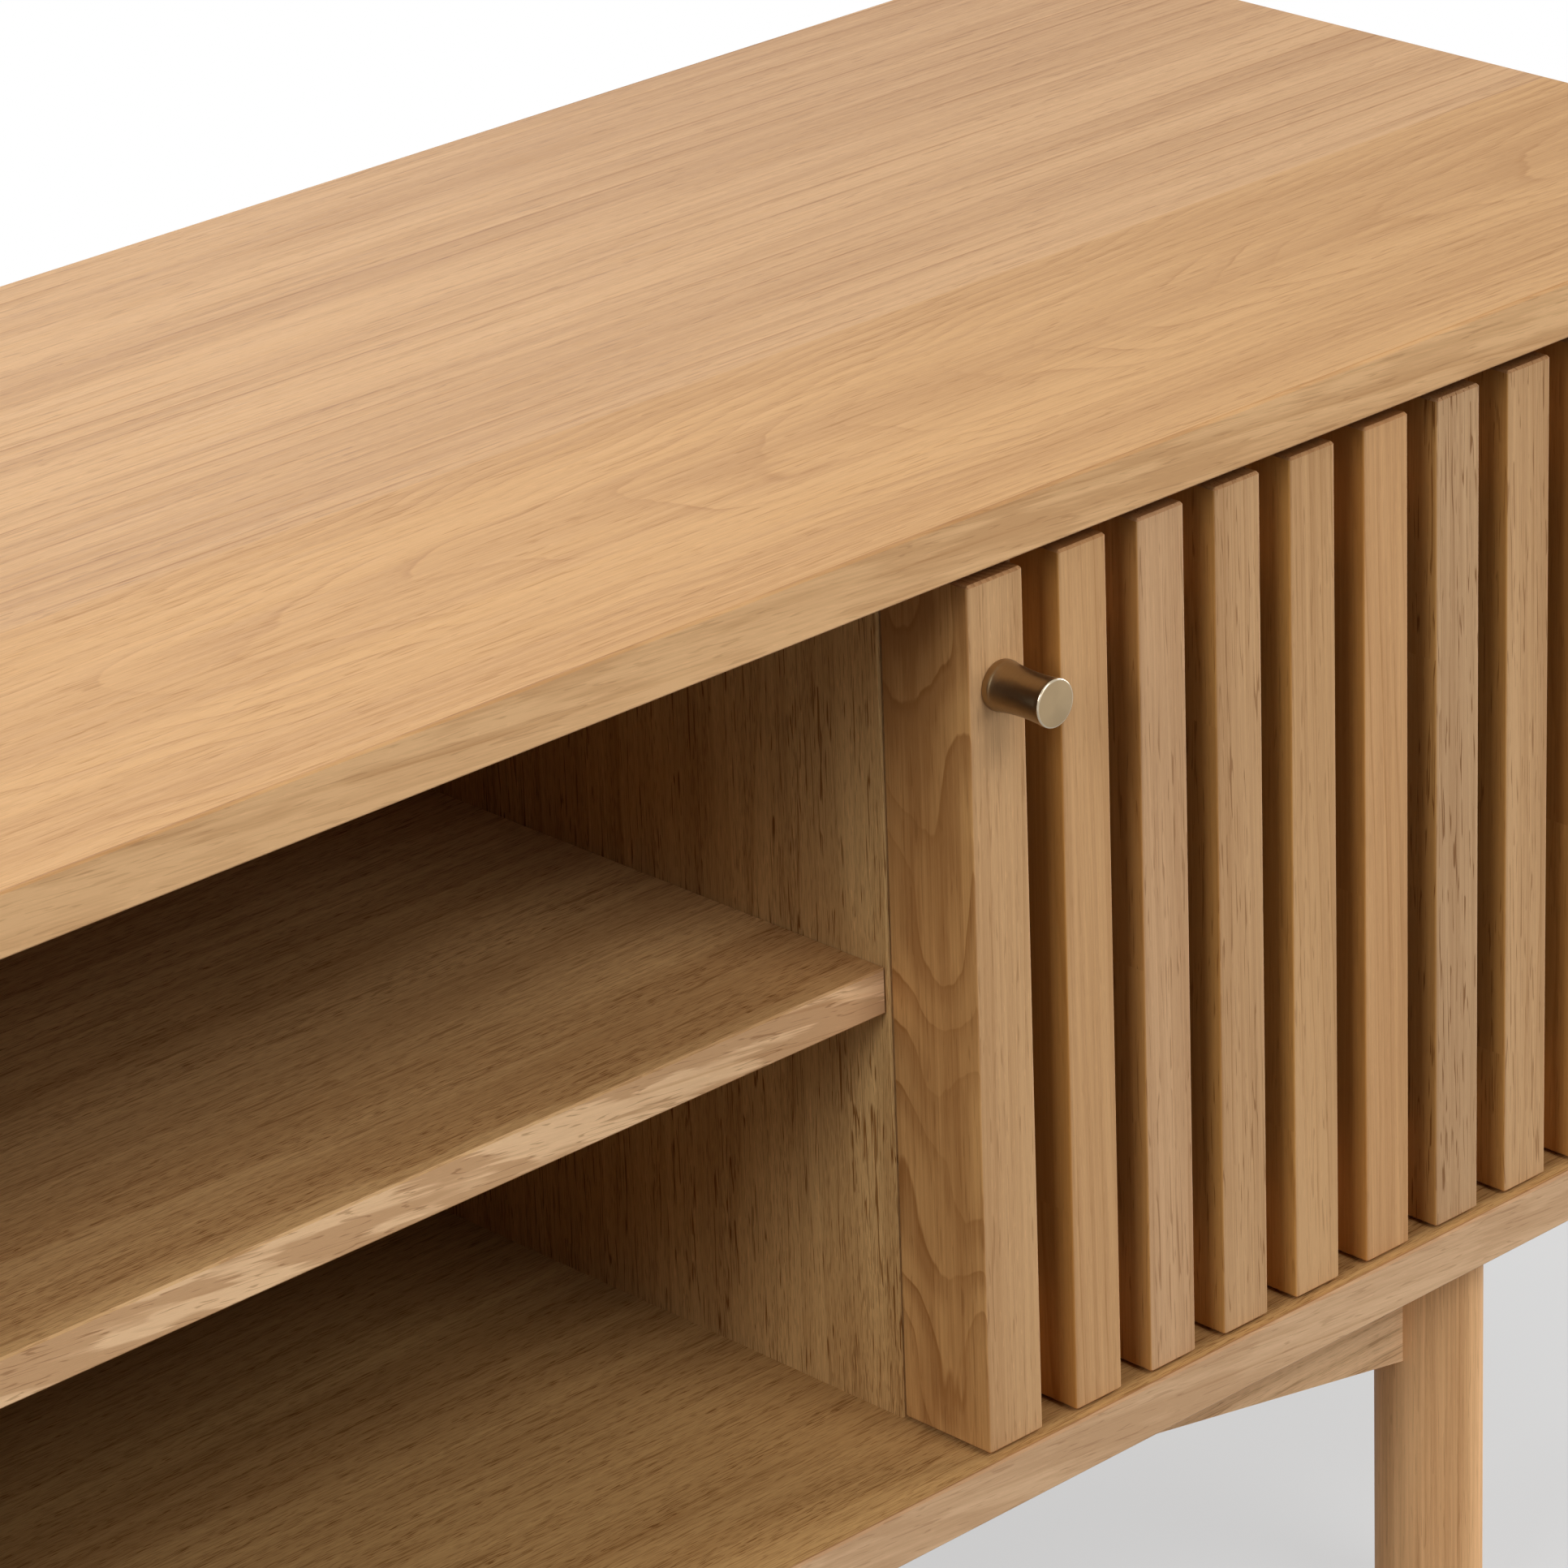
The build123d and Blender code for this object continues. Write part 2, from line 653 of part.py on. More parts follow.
for hand_name, hand in hands.items():
    latch_stile(f"{hand_name}_latch_stile", hand)
    hinge_stile(f"{hand_name}_hinge_stile", hand)
    door_rail(f"{hand_name}_bottom_rail", hand, rail_levels[0])
    door_rail(f"{hand_name}_top_rail", hand, rail_levels[1])
    for number, x_middle in enumerate(slat_middles, start=1):
        slat(f"{hand_name}_slat_{number:02d}", hand * x_middle)
    knob(f"{hand_name}_knob", hand)
    door_fixings(f"{hand_name}_door_fixings", hand)
    pivot_pins(f"{hand_name}_pivot_pins", hand)
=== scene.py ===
"""Looks of the media cabinet: oak, brushed metal, floor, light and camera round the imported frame."""

import math

import bmesh
import bpy
from mathutils import Matrix, Vector

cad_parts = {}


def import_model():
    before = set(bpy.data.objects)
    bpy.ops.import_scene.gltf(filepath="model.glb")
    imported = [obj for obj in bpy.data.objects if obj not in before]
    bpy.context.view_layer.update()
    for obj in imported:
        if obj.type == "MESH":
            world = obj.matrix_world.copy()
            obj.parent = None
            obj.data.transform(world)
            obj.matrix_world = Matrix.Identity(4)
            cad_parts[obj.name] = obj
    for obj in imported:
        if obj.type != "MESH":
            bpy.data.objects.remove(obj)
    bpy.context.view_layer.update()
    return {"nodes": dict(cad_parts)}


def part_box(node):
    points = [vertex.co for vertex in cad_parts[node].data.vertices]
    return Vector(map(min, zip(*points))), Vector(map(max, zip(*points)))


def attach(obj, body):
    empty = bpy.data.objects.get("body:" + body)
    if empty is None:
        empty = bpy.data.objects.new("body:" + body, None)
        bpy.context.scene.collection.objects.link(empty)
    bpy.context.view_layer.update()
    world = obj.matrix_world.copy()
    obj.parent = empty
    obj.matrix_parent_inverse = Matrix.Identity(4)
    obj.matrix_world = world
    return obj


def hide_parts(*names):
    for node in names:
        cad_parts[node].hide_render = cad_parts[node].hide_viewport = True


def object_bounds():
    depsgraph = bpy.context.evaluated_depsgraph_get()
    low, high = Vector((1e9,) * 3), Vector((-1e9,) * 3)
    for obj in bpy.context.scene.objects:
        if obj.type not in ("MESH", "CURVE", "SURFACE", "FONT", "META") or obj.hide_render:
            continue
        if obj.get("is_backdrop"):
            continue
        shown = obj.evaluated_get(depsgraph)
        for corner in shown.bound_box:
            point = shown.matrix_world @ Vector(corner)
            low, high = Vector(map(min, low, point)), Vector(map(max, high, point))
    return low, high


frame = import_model()

MM = 0.001

# ---------------------------------------------------------------- colours, linear RGB
TOP_OAK = (0.69, 0.378, 0.142)
# Paler back leaf of the top: partly its own veneer, partly a painted sheen
TOP_BACK_OAK_AND_SHEEN = (0.70, 0.40, 0.172)
SIDE_OAK = (0.64, 0.37, 0.16)
LIPPING_OAK = (0.73, 0.44, 0.212)
SHELF_LIPPING_OAK = (0.80, 0.52, 0.285)
BASE_LIPPING_OAK = (0.68, 0.44, 0.25)
INNER_OAK = (0.60, 0.352, 0.145)
BASE_OAK = (0.485, 0.28, 0.105)
DIVIDER_OAK = (0.66, 0.415, 0.172)
# Darker than the other oak as painted shade for the deep inside of the case
BACK_OAK_PAINTED_SHADE = (0.32, 0.19, 0.082)
DOOR_OAK = (0.62, 0.368, 0.175)
STAND_OAK = (0.80, 0.515, 0.28)
LEG_OAK = (0.74, 0.43, 0.20)
PORE = (0.42, 0.30, 0.20)
LATE_WOOD = (0.72, 0.60, 0.46)
KNOT = (0.34, 0.20, 0.12)
TOP_ARRIS = (0.74, 0.60, 0.40)  # tint of a lipping where it faces up
BASE_ARRIS = (0.64, 0.52, 0.40)
END_PAINTED_SHADE = (0.60, 0.44, 0.30)  # painted shade on the upper ends of slats and stiles, which sit under the top
BRASS = (0.52, 0.36, 0.14)
CHAMPAGNE = (0.43, 0.31, 0.175)
POLISHED = (0.60, 0.50, 0.36)
STEEL = (0.42, 0.42, 0.43)
BEECH = (0.55, 0.40, 0.25)
NYLON = (0.035, 0.032, 0.03)
FLOOR_GREY = (0.80, 0.80, 0.80)
FLOOR_NEAR = (0.50, 0.50, 0.50)
FLOOR_FAR = (0.12, 0.12, 0.12)
WHITE = (1.0, 1.0, 1.0)


# ---------------------------------------------------------------- shader graphs
class Graph:
    """Makes shader nodes in a tree and plugs values or other nodes' outputs into them."""

    def __init__(self, tree):
        self.tree = tree

    def add(self, kind, plugs=(), **settings):
        node = self.tree.nodes.new(kind)
        for name, value in settings.items():
            setattr(node, name, value)
        for socket, value in dict(plugs).items():
            self.plug(node.inputs[socket], value)
        return node

    def plug(self, socket, value):
        if isinstance(value, bpy.types.NodeSocket):
            self.tree.links.new(value, socket)
        elif socket.type == "RGBA":
            socket.default_value = (*value, 1.0)
        else:
            socket.default_value = value

    def math(self, operation, *values, clamp=False):
        node = self.add("ShaderNodeMath", operation=operation, use_clamp=clamp)
        for socket, value in zip(node.inputs, values):
            self.plug(socket, value)
        return node.outputs[0]

    def vector(self, operation, *values):
        node = self.add("ShaderNodeVectorMath", operation=operation)
        for socket, value in zip(node.inputs, values):
            self.plug(socket, value)
        return node.outputs["Value" if operation == "LENGTH" else "Vector"]

    def split(self, vector):
        return self.add("ShaderNodeSeparateXYZ", {"Vector": vector}).outputs

    def join(self, x, y, z):
        return self.add("ShaderNodeCombineXYZ", {"X": x, "Y": y, "Z": z}).outputs[0]

    def noise(self, vector, stretch, detail=1.0, roughness=0.5):
        """Noise whose features are about 1/stretch long along each axis."""
        place = self.vector("MULTIPLY", vector, stretch)
        plugs = {"Vector": place, "Scale": 1.0, "Detail": detail, "Roughness": roughness}
        return self.add("ShaderNodeTexNoise", plugs).outputs["Fac"]

    def step(self, value, low, high):
        """Smooth step from 0 at low to 1 at high."""
        plugs = {"Value": value, "From Min": low, "From Max": high}
        return self.add("ShaderNodeMapRange", plugs, interpolation_type="SMOOTHSTEP").outputs["Result"]

    def mix(self, factor, a, b, blend="MIX"):
        node = self.add("ShaderNodeMix", data_type="RGBA", blend_type=blend, clamp_factor=True)
        self.plug(node.inputs["Factor"], factor)
        colors = [socket for socket in node.inputs if socket.type == "RGBA"]
        self.plug(colors[0], a)
        self.plug(colors[1], b)
        return [socket for socket in node.outputs if socket.type == "RGBA"][0]

    def tinted(self, color, tint, factor):
        """The colour, and as far as factor says the colour times the tint."""
        return self.mix(factor, color, self.mix(1.0, color, tint, "MULTIPLY"))


def new_material(name):
    """A material, the graph of its nodes and its shader."""
    material = bpy.data.materials.new(name)
    material.use_nodes = True
    return material, Graph(material.node_tree), material.node_tree.nodes["Principled BSDF"]


# ---------------------------------------------------------------- oak
OAK_INPUTS = (
    ("Place", "Vector"),
    ("Heart", "Vector"),
    ("Knot", "Vector"),
    ("Knot size", "Float"),
    ("Joint", "Float"),
    ("Slope", "Float"),
    ("Tilt", "Float"),
    ("Wander", "Float"),
    ("Ripple", "Float"),
    ("Uneven", "Float"),
    ("Ring", "Float"),
    ("Pale", "Color"),
    ("Dark", "Color"),
    ("Arches", "Float"),
    ("Lines", "Float"),
    ("Pores", "Float"),
    ("Vessels", "Float"),
    ("Flecks", "Float"),
    ("Streaks", "Float"),
    ("Figure", "Float"),
)


# Marks of the wood: how often they come per millimetre along the grain and, twice, across it
SLOW_WAVES = (0.0014, 0.010, 0.010)
RIPPLES = (0.02, 0.16, 0.16)
RING_DRIFT = (0.003, 0.02, 0.02)
RING_BENDS = (0.016, 0.03, 0.03)
LINE_BREAKS = (0.005, 0.08, 0.08)
CLEAR_YEARS = (0.009, 0.03, 0.03)
BROAD_FIBRES = (0.0016, 0.03, 0.03)
WIDE_FIBRES = (0.0022, 0.11, 0.11)
COARSE_FIBRES = (0.005, 0.38, 0.38)
FINE_FIBRES = (0.014, 1.3, 1.3)
FRINGES = (0.006, 0.8, 0.8)
FRINGE_REACH = 45.0  # mm along the grain
FIGURE_PATCHES = (0.019, 0.10, 0.10)
RAY_FLECKS = (0.16, 1.1, 1.1)
PORE_DASHES = (0.16, 3.1, 3.1)
VESSEL_TRACKS = (0.012, 0.5, 0.5)
VESSEL_BREAKS = (0.07, 0.8, 0.8)
FLECK_TINT = (1.16, 1.17, 1.18)
FLECK_SHIFT = (300.0, 70.0, 50.0)  # mm, so that flecks and fibres don't coincide
STICK_SHIFT = 31.0  # mm sideways in the tree, from one side of a butt joint to the other
KNOT_SHAPE = (0.45, 1.0, 1.0)  # drawn out along the grain
KNOT_REACH = 3.5  # times its size, how far the fibres swerve


def oak_group():
    """Solid oak in millimetres, x along the grain: rings round a heart, rays, fibres and pores."""
    tree = bpy.data.node_groups.new("oak", "ShaderNodeTree")
    for name, kind in OAK_INPUTS:
        tree.interface.new_socket(name, in_out="INPUT", socket_type=f"NodeSocket{kind}")
    for name, kind in (("Color", "Color"), ("Roughness", "Float"), ("Height", "Float")):
        tree.interface.new_socket(name, in_out="OUTPUT", socket_type=f"NodeSocket{kind}")
    g = Graph(tree)
    given = g.add("NodeGroupInput").outputs
    x, y, z = g.split(given["Place"])
    # Beyond a butt joint the wood comes from another stick
    beyond = g.math("GREATER_THAN", x, given["Joint"])
    # Round a knot the fibres swerve
    off_knot = g.vector("SUBTRACT", given["Place"], given["Knot"])
    knot_distance = g.vector("LENGTH", g.vector("MULTIPLY", off_knot, KNOT_SHAPE))
    knot_distance = g.math("DIVIDE", knot_distance, given["Knot size"])
    near_knot = g.math("SUBTRACT", 1.0, g.step(knot_distance, 0.0, KNOT_REACH))
    in_knot = g.math("SUBTRACT", 1.0, g.step(knot_distance, 0.35, 1.0))
    swerve = g.math("MULTIPLY", near_knot, given["Knot size"])
    lean = g.math("MULTIPLY_ADD", x, given["Slope"], g.math("MULTIPLY_ADD", beyond, STICK_SHIFT, swerve))
    place = g.join(x, g.math("ADD", y, lean), g.math("MULTIPLY_ADD", lean, 0.5, z))
    # Rings, bent by slow waves so that lines wander and arches form where the heart tilts
    wave = g.math("SUBTRACT", g.noise(place, SLOW_WAVES, 0.0), 0.5)
    wave = g.math("MULTIPLY", wave, given["Wander"])
    ripple = g.math("MULTIPLY", g.math("SUBTRACT", g.noise(place, RIPPLES), 0.5), given["Ripple"])
    ring_x, ring_y, ring_z = g.split(g.vector("ADD", place, given["Heart"]))
    across = g.math("ADD", g.math("ADD", ring_y, wave), ripple)
    depth = g.math("MULTIPLY_ADD", ring_x, given["Tilt"], g.math("MULTIPLY_ADD", wave, 0.6, ring_z))
    depth = g.math("ADD", depth, ripple)
    rings = g.math("DIVIDE", g.vector("LENGTH", g.join(0.0, across, depth)), given["Ring"])
    rings = g.math("MULTIPLY_ADD", g.noise(place, RING_DRIFT, 0.0), 1.2, rings)
    rings = g.math("MULTIPLY_ADD", g.noise(place, RING_BENDS, 0.0), given["Uneven"], rings)
    turn = g.math("FRACT", rings)
    rise = g.step(turn, 0.0, 0.05)
    early = g.math("MULTIPLY", rise, g.math("SUBTRACT", 1.0, g.step(turn, 0.05, 0.75)))
    line = g.math("MULTIPLY", rise, g.math("SUBTRACT", 1.0, g.step(turn, 0.04, 0.16)))
    broken = g.step(g.noise(place, LINE_BREAKS, 0.0), 0.40, 0.62)
    # Some years the tree grew evenly, and the rings hardly show there
    clear = g.step(g.noise(place, CLEAR_YEARS, 0.0), 0.36, 0.60)
    clear = g.math("MULTIPLY_ADD", clear, 0.75, 0.25)
    # Fibres: long narrow streaks at four widths
    broad = g.noise(place, BROAD_FIBRES, 0.0)
    wide = g.noise(place, WIDE_FIBRES, 1.0)
    coarse = g.noise(place, COARSE_FIBRES, 1.0)
    fine = g.noise(place, FINE_FIBRES, 1.0)
    streak = g.math("MULTIPLY_ADD", broad, 1.3, g.math("MULTIPLY", wide, 1.0))
    streak = g.math("MULTIPLY_ADD", coarse, 1.0, g.math("MULTIPLY_ADD", fine, 0.9, streak))
    tone = g.math("MULTIPLY_ADD", g.math("SUBTRACT", streak, 2.1), given["Streaks"], 0.5)
    arches = g.math("MULTIPLY", given["Arches"], clear)
    tone = g.math("MULTIPLY_ADD", g.math("SUBTRACT", early, 0.35), arches, tone)
    # Figure: patches where rays surface, their ends fringed because each fibre starts elsewhere
    fringe = g.math("MULTIPLY", g.math("SUBTRACT", g.noise(place, FRINGES), 0.5), FRINGE_REACH)
    fringed = g.vector("ADD", place, g.join(fringe, 0.0, 0.0))
    patch = g.step(g.noise(fringed, FIGURE_PATCHES, 1.0), 0.44, 0.56)
    tone = g.math("MULTIPLY_ADD", g.math("SUBTRACT", patch, 0.5), given["Figure"], tone, clamp=True)
    color = g.mix(tone, given["Pale"], given["Dark"])
    ring_line = g.math("MULTIPLY", line, g.math("MULTIPLY_ADD", broken, 0.7, 0.3))
    ring_line = g.math("MULTIPLY", ring_line, clear)
    ring_line = g.math("MULTIPLY", ring_line, given["Lines"], clamp=True)
    color = g.tinted(color, LATE_WOOD, ring_line)
    # Rays: short pale flecks
    shifted = g.vector("ADD", place, FLECK_SHIFT)
    fleck = g.step(g.noise(shifted, RAY_FLECKS), 0.62, 0.74)
    fleck = g.math("MULTIPLY", fleck, given["Flecks"], clamp=True)
    color = g.tinted(color, FLECK_TINT, fleck)
    # Pores: short dark dashes, crowded into the early wood
    dash = g.step(g.noise(place, PORE_DASHES, 0.0), 0.58, 0.69)
    pore = g.math("MULTIPLY", dash, g.math("MULTIPLY_ADD", early, 0.45, 0.55))
    pore = g.math("MULTIPLY", pore, given["Pores"])
    # Vessels cut lengthwise: long thin lines, broken into dashes
    track = g.math("ABSOLUTE", g.math("SUBTRACT", g.noise(place, VESSEL_TRACKS), 0.5))
    track = g.math("SUBTRACT", 1.0, g.step(track, 0.010, 0.032))
    vessel = g.math("MULTIPLY", track, g.step(g.noise(place, VESSEL_BREAKS, 0.0), 0.48, 0.58))
    pore = g.math("MAXIMUM", pore, g.math("MULTIPLY", vessel, given["Vessels"]), clamp=True)
    color = g.tinted(color, PORE, pore)
    color = g.tinted(color, KNOT, in_knot)
    roughness = g.math("MULTIPLY_ADD", fine, 0.16, g.math("MULTIPLY_ADD", pore, 0.2, 0.44))
    height = g.math("SUBTRACT", g.math("MULTIPLY", fine, 0.25), pore)
    result = g.add("NodeGroupOutput").inputs
    g.plug(result["Color"], color)
    g.plug(result["Roughness"], roughness)
    g.plug(result["Height"], height)
    return tree


OAK = oak_group()
# Which of the piece's axes run along, across and into the wood
GRAIN_AXES = {
    "x": ("X", "Y", "Z"),
    "x turned": ("X", "Z", "Y"),
    "y": ("Y", "Z", "X"),
    "z": ("Z", "X", "Y"),
    "z turned": ("Z", "Y", "X"),
}
NO_JOINT = 100000.0
NO_KNOT = (0.0, 0.0, -50000.0)
MM_PER_METRE = (1000.0, 1000.0, 1000.0)


def shades(color, contrast):
    """Pale and dark tone round a colour; the dark one is redder."""
    pale = tuple(c * (1 + contrast * k) for c, k in zip(color, (0.8, 0.9, 1.1)))
    dark = tuple(c * (1 - contrast * k) for c, k in zip(color, (0.7, 1.0, 1.2)))
    return pale, dark


def sideways(g):
    """1 on the faces that look to the left or right, 0 on the others."""
    normal = g.split(g.add("ShaderNodeTexCoord").outputs["Normal"])
    return g.step(g.math("ABSOLUTE", normal["X"]), 0.6, 0.9)


def wood(
    g, grain, color, seed, contrast=0.14, heart=(0, 90, 25), tilt=0.0, ring=4.0, slope=0.0,
    wander=20.0, ripple=2.4, uneven=0.0, arches=0.25, lines=0.5, pores=0.4, vessels=0.5,
    flecks=0.3, streaks=0.9, figure=0.0, joint=None, knot=None, knot_size=1.0,
):
    """One stick of oak as a node group, with its own place in the tree.

    grain names the axis it runs along; heart, ring, wander, ripple, joint and knot are in millimetres.
    """
    axes = g.split(g.add("ShaderNodeTexCoord").outputs["Object"])
    turned = g.join(*[axes[axis] for axis in GRAIN_AXES[grain]])
    shift = (seed * 917.0 % 4000.0, seed * 571.0 % 3000.0, seed * 331.0 % 2000.0)
    in_mm = g.add("ShaderNodeVectorMath", operation="MULTIPLY_ADD")
    g.plug(in_mm.inputs[0], turned)
    g.plug(in_mm.inputs[1], MM_PER_METRE)
    g.plug(in_mm.inputs[2], shift)
    pale, dark = shades(color, contrast)
    knot_here = NO_KNOT
    if knot:
        order = ["XYZ".index(axis) for axis in GRAIN_AXES[grain]]
        knot_here = tuple(knot[k] + s for k, s in zip(order, shift))
    group = g.add("ShaderNodeGroup", node_tree=OAK)
    joint_here = NO_JOINT
    if joint is not None:
        # Only the flanks show the joint
        off_flank = g.math("SUBTRACT", 1.0, sideways(g))
        joint_here = g.math("MULTIPLY_ADD", off_flank, NO_JOINT, joint + shift[0])
    values = {
        "Place": in_mm.outputs[0],
        "Heart": tuple(h - s for h, s in zip(heart, shift)),
        "Knot": knot_here,
        "Knot size": knot_size,
        "Joint": joint_here,
        "Slope": slope,
        "Tilt": tilt,
        "Wander": wander,
        "Ripple": ripple,
        "Uneven": uneven,
        "Ring": ring,
        "Pale": pale,
        "Dark": dark,
        "Arches": arches,
        "Lines": lines,
        "Pores": pores,
        "Vessels": vessels,
        "Flecks": flecks,
        "Streaks": streaks,
        "Figure": figure,
    }
    for socket, value in values.items():
        g.plug(group.inputs[socket], value)
    return group.outputs


def facing(g, axis, low, high):
    """1 on the surfaces that face along an axis, 0 on the others."""
    normal = g.split(g.add("ShaderNodeTexCoord").outputs["Normal"])
    return g.step(normal[axis], low, high)


def drifting_and_shading(g, color, at_left, at_right):
    """Tints from the middle to each end: partly veneer that changes, partly painted shade at the right end.
    """
    x = g.split(g.add("ShaderNodeTexCoord").outputs["Object"])["X"]
    low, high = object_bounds()[0][0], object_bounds()[1][0]
    color = g.tinted(color, at_left, g.step(x, low / 2, low))
    return g.tinted(color, at_right, g.step(x, 0.0, high))


MATT = 0.08  # specular level of the lacquer
LEAF_JOINT = 0.2 * MM
PORE_DEPTH = 0.2 * MM


def oak(
    name, grain, color, seed, leaf=None, leaf_edge=0.0, front=None, arris=None, flank_shade=None,
    drift_and_shade=None, below_shade=None, **looks,
):
    """Oak of one piece.

    leaf is a second veneer leaf behind leaf_edge, and front the wood of its front face. arris tints the
    faces that look up, the flank tint those that look sideways and the below tint those that look down.
    The flank and below tints are painted shade, and so is the arris tint on slats and stiles, whose
    upper ends sit in the shade under the top. The drift tint at both ends is partly veneer that changes
    and partly painted shade.
    """
    material, g, shader = new_material(f"oak_{name}")
    body = wood(g, grain, color, seed, **looks)
    shown = body["Color"]
    if leaf:
        behind = wood(g, **leaf)
        y = g.split(g.add("ShaderNodeTexCoord").outputs["Object"])["Y"]
        to_leaf = g.step(y, leaf_edge - LEAF_JOINT, leaf_edge + LEAF_JOINT)
        shown = g.mix(to_leaf, shown, behind["Color"])
    if front:
        lipping = wood(g, **front)
        to_front = g.math("SUBTRACT", 1.0, facing(g, "Y", -0.9, -0.6))
        shown = g.mix(to_front, shown, lipping["Color"])
    # On slats and stiles the upward tint is painted shade on their upper ends
    if arris:
        shown = g.tinted(shown, arris, facing(g, "Z", 0.5, 0.9))
    # Painted shade on the faces that look sideways
    if flank_shade:
        shown = g.tinted(shown, flank_shade, sideways(g))
    # Partly veneer that changes, partly painted shade darker at the right end
    if drift_and_shade:
        shown = drifting_and_shading(g, shown, *drift_and_shade)
    # Painted shade on the faces that look down
    if below_shade:
        shown = g.tinted(shown, below_shade, facing(g, "Z", -0.6, -0.9))
    g.plug(shader.inputs["Base Color"], shown)
    g.plug(shader.inputs["Roughness"], body["Roughness"])
    bump = g.add("ShaderNodeBump", {"Height": body["Height"], "Strength": 0.25, "Distance": PORE_DEPTH})
    g.plug(shader.inputs["Normal"], bump.outputs[0])
    shader.inputs["Specular IOR Level"].default_value = MATT
    return material


# Marks on the metals and plastics, per metre; a lathe leaves lines round the axis of the piece
MILL_MARKS = (900, 900, 900)
LATHE_MARKS = {"y": (60, 9000, 60), "z": (60, 60, 9000)}
BLOTCHES = (400, 400, 400)
MOTTLE = (700, 700, 700)
SCRATCH_DEPTH = 0.05 * MM


def metal(name, color, roughness, brushed_round=None):
    """Metal; brushed_round is the axis of a turned piece."""
    material, g, shader = new_material(name)
    shader.inputs["Metallic"].default_value = 1.0
    coordinates = g.add("ShaderNodeTexCoord").outputs
    lines = g.noise(coordinates["Object"], LATHE_MARKS.get(brushed_round, MILL_MARKS), 2.0)
    blotches = g.noise(coordinates["Object"], BLOTCHES, 2.0)
    tint = g.mix(lines, color, tuple(0.72 * c for c in color))
    rough = g.math("MULTIPLY_ADD", lines, 0.16, g.math("MULTIPLY_ADD", blotches, 0.1, roughness - 0.13))
    if brushed_round:
        shader.inputs["Anisotropic"].default_value = 0.55
        tangent = g.add("ShaderNodeTangent", direction_type="RADIAL", axis=brushed_round.upper())
        g.plug(shader.inputs["Tangent"], tangent.outputs[0])
    g.plug(shader.inputs["Base Color"], tint)
    g.plug(shader.inputs["Roughness"], rough)
    bump = g.add("ShaderNodeBump", {"Height": lines, "Strength": 0.12, "Distance": SCRATCH_DEPTH})
    g.plug(shader.inputs["Normal"], bump.outputs[0])
    return material


def plain(name, color, roughness):
    """Moulded or turned plain material with a slight mottle."""
    material, g, shader = new_material(name)
    place = g.add("ShaderNodeTexCoord").outputs["Object"]
    mottle = g.noise(place, MOTTLE, 3.0)
    g.plug(shader.inputs["Base Color"], g.mix(mottle, color, tuple(0.8 * c for c in color)))
    g.plug(shader.inputs["Roughness"], g.math("MULTIPLY_ADD", mottle, 0.2, roughness - 0.1))
    return material


def dress(node, material):
    """Gives a CAD node its material."""
    mesh = frame["nodes"][node].data
    mesh.materials.clear()
    mesh.materials.append(material)


# ---------------------------------------------------------------- which piece gets which oak
# Painted shade on the sides of slats and stiles, darker and warmer than their fronts
SIDE_PAINTED_SHADE = (0.86, 0.73, 0.43)
STILE_PAINTED_SHADE = (0.88, 0.80, 0.60)
UNDERSIDE_PAINTED_SHADE = (0.42, 0.36, 0.30)  # painted shade on the faces that look down, under the top and the shelf
# Tints at the left and right end: partly veneer that changes, partly painted shade at the right
TOP_DRIFT_AND_SHADE = ((1.0, 0.97, 0.90), (0.86, 0.90, 1.06))
LEAF_EDGE = -0.045  # joint between the two veneer leaves of the top
HANDS = ("left", "right")

# Looks that several pieces share
INSIDE = dict(
    ring=9.0, wander=40, contrast=0.2, arches=0.3, lines=0.35, pores=0.9, vessels=0.6, streaks=1.2,
)
LIPPING = dict(grain="x turned", ring=9.0, arches=0.2, streaks=1.2)
LATCH_STILE = dict(
    contrast=0.26, tilt=0.10, ring=3.4, wander=30, ripple=1.0, uneven=3.2, arches=0.85, lines=0.6,
    pores=0.12, vessels=0.3, streaks=1.0, figure=0.3,
)
SIDE_PANEL = dict(
    tilt=0.09, ring=4.4, uneven=1.0, wander=24, lines=0.6, pores=0.15, vessels=0.35, flecks=0.4,
)


def dress_top():
    # The back leaf's paler tone is partly its veneer, partly a painted sheen
    back_leaf = dict(
        grain="x", color=TOP_BACK_OAK_AND_SHEEN, seed=31, heart=(0, -620, 60), ring=7.5, wander=26,
        contrast=0.15, arches=0.3, lines=0.8, pores=0.2, vessels=0.35, flecks=0.5, streaks=1.2,
    )
    looks = dict(
        heart=(-1150, 118, -555), tilt=-0.08, ring=4.2, uneven=1.7, wander=34, ripple=1.0,
        contrast=0.14, arches=0.4, lines=0.36, pores=0.15, vessels=0.3, flecks=0.4, streaks=1.0,
    )
    # The drift tint is partly painted shade at the right end; the below tint is painted shade under the top
    leaves = dict(leaf=back_leaf, leaf_edge=LEAF_EDGE, drift_and_shade=TOP_DRIFT_AND_SHADE, below_shade=UNDERSIDE_PAINTED_SHADE)
    dress("top_panel", oak("top", "x", TOP_OAK, 1, **leaves, **looks))
    looks = dict(
        heart=(0, 40, 12), slope=0.06, contrast=0.15, lines=0.4, pores=0.05, vessels=0.25,
        figure=0.6, arris=TOP_ARRIS,
    )
    dress("top_lipping", oak("top_lipping", color=LIPPING_OAK, seed=3, **LIPPING, **looks))


def dress_base():
    dress("base_panel", oak("base", "x", BASE_OAK, 2, heart=(0, 260, 30), **INSIDE))
    looks = dict(
        heart=(0, 30, 15), slope=0.08, contrast=0.14, pores=0.06, vessels=0.3, figure=0.5,
        arris=BASE_ARRIS,
    )
    dress("base_lipping", oak("base_lipping", color=BASE_LIPPING_OAK, seed=4, **LIPPING, **looks))


